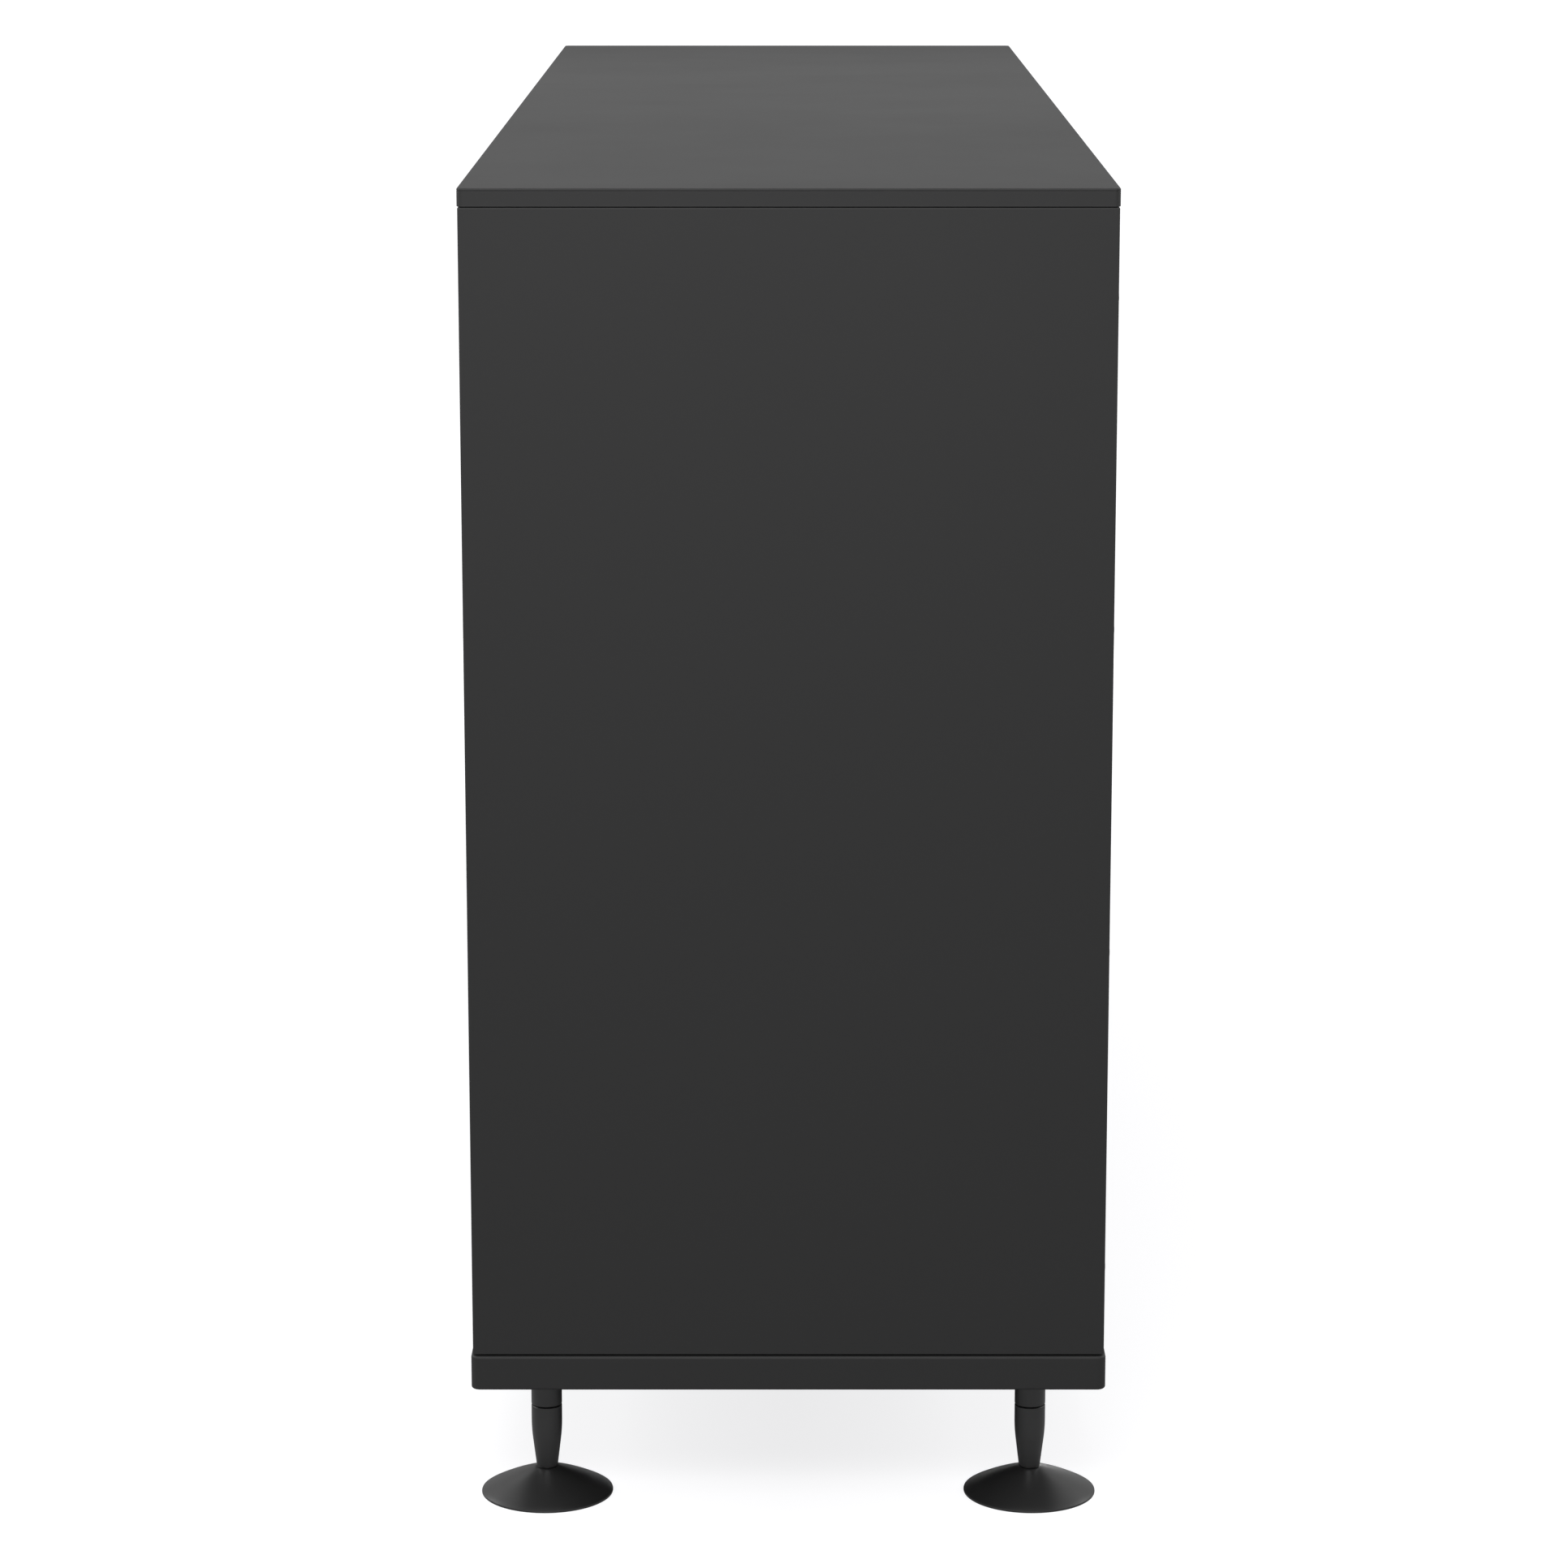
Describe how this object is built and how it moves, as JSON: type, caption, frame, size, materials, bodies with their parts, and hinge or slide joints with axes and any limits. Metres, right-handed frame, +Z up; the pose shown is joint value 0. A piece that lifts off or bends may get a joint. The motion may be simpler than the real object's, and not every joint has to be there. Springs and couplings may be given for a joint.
{
  "type": "dresser with drawers",
  "caption": "Matte black six-drawer dresser with a thin top, inset handleless fronts over finger gaps and short turned legs on wide disc feet.",
  "frame": {"origin": "on the floor under the middle of the dresser", "axes": "+X along the length, -Y out of the drawer fronts, +Z up"},
  "size_m": [1.6, 0.433, 0.907],
  "materials": {
    "lacquer": "matte black lacquer on fibreboard",
    "drawer_lining": "charcoal linen-textured foil on board",
    "back_foil": "matte black foil on thin fibreboard",
    "leg_coat": "fine matte powder coat",
    "runner_steel": "zinc-plated strip steel",
    "zinc_steel": "zinc-plated steel",
    "zinc_casting": "raw zinc die casting",
    "beech": "plain fluted beech",
    "black_plastic": "matte extrusion"
  },
  "bodies": {
    "carcass": {"top_panel": "lacquer", "base_board": "lacquer", "end_panel_left": "lacquer", "end_panel_right": "lacquer", "centre_divider": "lacquer", "grip_rails": "lacquer", "rear_top_rails": "lacquer", "back_panel_left": "back_foil", "back_panel_right": "back_foil", "back_joint_strip": "black_plastic", "rail_cam_locks": "zinc_casting", "rail_cam_bolts": "zinc_steel", "rail_dowels": "beech", "base_screws": "zinc_steel", "top_screws": "zinc_steel", "back_screws": "zinc_steel", "leg_studs": "zinc_steel", "leg_collars": "leg_coat", "runner_outers_left_column": "runner_steel", "runner_outers_right_column": "runner_steel"},
    "drawer_left_bottom": {"drawer_front_left_bottom": "lacquer", "drawer_box_left_bottom": "drawer_lining", "drawer_bottom_left_bottom": "drawer_lining", "runner_inner_left_bottom": "runner_steel"},
    "slide_middle_left_bottom": {"runner_middle_left_bottom": "runner_steel"},
    "drawer_left_middle": {"drawer_front_left_middle": "lacquer", "drawer_box_left_middle": "drawer_lining", "drawer_bottom_left_middle": "drawer_lining", "runner_inner_left_middle": "runner_steel"},
    "slide_middle_left_middle": {"runner_middle_left_middle": "runner_steel"},
    "drawer_left_top": {"drawer_front_left_top": "lacquer", "drawer_box_left_top": "drawer_lining", "drawer_bottom_left_top": "drawer_lining", "runner_inner_left_top": "runner_steel"},
    "slide_middle_left_top": {"runner_middle_left_top": "runner_steel"},
    "drawer_right_bottom": {"drawer_front_right_bottom": "lacquer", "drawer_box_right_bottom": "drawer_lining", "drawer_bottom_right_bottom": "drawer_lining", "runner_inner_right_bottom": "runner_steel"},
    "slide_middle_right_bottom": {"runner_middle_right_bottom": "runner_steel"},
    "drawer_right_middle": {"drawer_front_right_middle": "lacquer", "drawer_box_right_middle": "drawer_lining", "drawer_bottom_right_middle": "drawer_lining", "runner_inner_right_middle": "runner_steel"},
    "slide_middle_right_middle": {"runner_middle_right_middle": "runner_steel"},
    "drawer_right_top": {"drawer_front_right_top": "lacquer", "drawer_box_right_top": "drawer_lining", "drawer_bottom_right_top": "drawer_lining", "runner_inner_right_top": "runner_steel"},
    "slide_middle_right_top": {"runner_middle_right_top": "runner_steel"},
    "leg_front_left": {"leg_post_front_left": "leg_coat", "disc_foot_front_left": "leg_coat"},
    "leg_front_right": {"leg_post_front_right": "leg_coat", "disc_foot_front_right": "leg_coat"},
    "leg_rear_left": {"leg_post_rear_left": "leg_coat", "disc_foot_rear_left": "leg_coat"},
    "leg_rear_right": {"leg_post_rear_right": "leg_coat", "disc_foot_rear_right": "leg_coat"},
    "leg_centre": {"leg_post_centre": "leg_coat", "disc_foot_centre": "leg_coat"}
  },
  "joints": [
    {"name": "drawer_slide_left_bottom", "type": "slide", "parent": "carcass", "child": "drawer_left_bottom", "axis": [0, -1, 0], "range_m": [0, 0.35]},
    {"name": "middle_slide_left_bottom", "type": "slide", "parent": "carcass", "child": "slide_middle_left_bottom", "axis": [0, -1, 0], "range_m": [0, 0.175]},
    {"name": "drawer_slide_left_middle", "type": "slide", "parent": "carcass", "child": "drawer_left_middle", "axis": [0, -1, 0], "range_m": [0, 0.35]},
    {"name": "middle_slide_left_middle", "type": "slide", "parent": "carcass", "child": "slide_middle_left_middle", "axis": [0, -1, 0], "range_m": [0, 0.175]},
    {"name": "drawer_slide_left_top", "type": "slide", "parent": "carcass", "child": "drawer_left_top", "axis": [0, -1, 0], "range_m": [0, 0.35]},
    {"name": "middle_slide_left_top", "type": "slide", "parent": "carcass", "child": "slide_middle_left_top", "axis": [0, -1, 0], "range_m": [0, 0.175]},
    {"name": "drawer_slide_right_bottom", "type": "slide", "parent": "carcass", "child": "drawer_right_bottom", "axis": [0, -1, 0], "range_m": [0, 0.35]},
    {"name": "middle_slide_right_bottom", "type": "slide", "parent": "carcass", "child": "slide_middle_right_bottom", "axis": [0, -1, 0], "range_m": [0, 0.175]},
    {"name": "drawer_slide_right_middle", "type": "slide", "parent": "carcass", "child": "drawer_right_middle", "axis": [0, -1, 0], "range_m": [0, 0.35]},
    {"name": "middle_slide_right_middle", "type": "slide", "parent": "carcass", "child": "slide_middle_right_middle", "axis": [0, -1, 0], "range_m": [0, 0.175]},
    {"name": "drawer_slide_right_top", "type": "slide", "parent": "carcass", "child": "drawer_right_top", "axis": [0, -1, 0], "range_m": [0, 0.35]},
    {"name": "middle_slide_right_top", "type": "slide", "parent": "carcass", "child": "slide_middle_right_top", "axis": [0, -1, 0], "range_m": [0, 0.175]},
    {"name": "levelling_front_left", "type": "slide", "parent": "carcass", "child": "leg_front_left", "axis": [0, 0, -1], "range_m": [0, 0.008]},
    {"name": "levelling_front_right", "type": "slide", "parent": "carcass", "child": "leg_front_right", "axis": [0, 0, -1], "range_m": [0, 0.008]},
    {"name": "levelling_rear_left", "type": "slide", "parent": "carcass", "child": "leg_rear_left", "axis": [0, 0, -1], "range_m": [0, 0.008]},
    {"name": "levelling_rear_right", "type": "slide", "parent": "carcass", "child": "leg_rear_right", "axis": [0, 0, -1], "range_m": [0, 0.008]},
    {"name": "levelling_centre", "type": "slide", "parent": "carcass", "child": "leg_centre", "axis": [0, 0, -1], "range_m": [0, 0.008]}
  ],
  "couplings": [
    {"joint": "middle_slide_left_bottom", "follows": "drawer_slide_left_bottom", "ratio": 0.5},
    {"joint": "middle_slide_left_middle", "follows": "drawer_slide_left_middle", "ratio": 0.5},
    {"joint": "middle_slide_left_top", "follows": "drawer_slide_left_top", "ratio": 0.5},
    {"joint": "middle_slide_right_bottom", "follows": "drawer_slide_right_bottom", "ratio": 0.5},
    {"joint": "middle_slide_right_middle", "follows": "drawer_slide_right_middle", "ratio": 0.5},
    {"joint": "middle_slide_right_top", "follows": "drawer_slide_right_top", "ratio": 0.5}
  ]
}
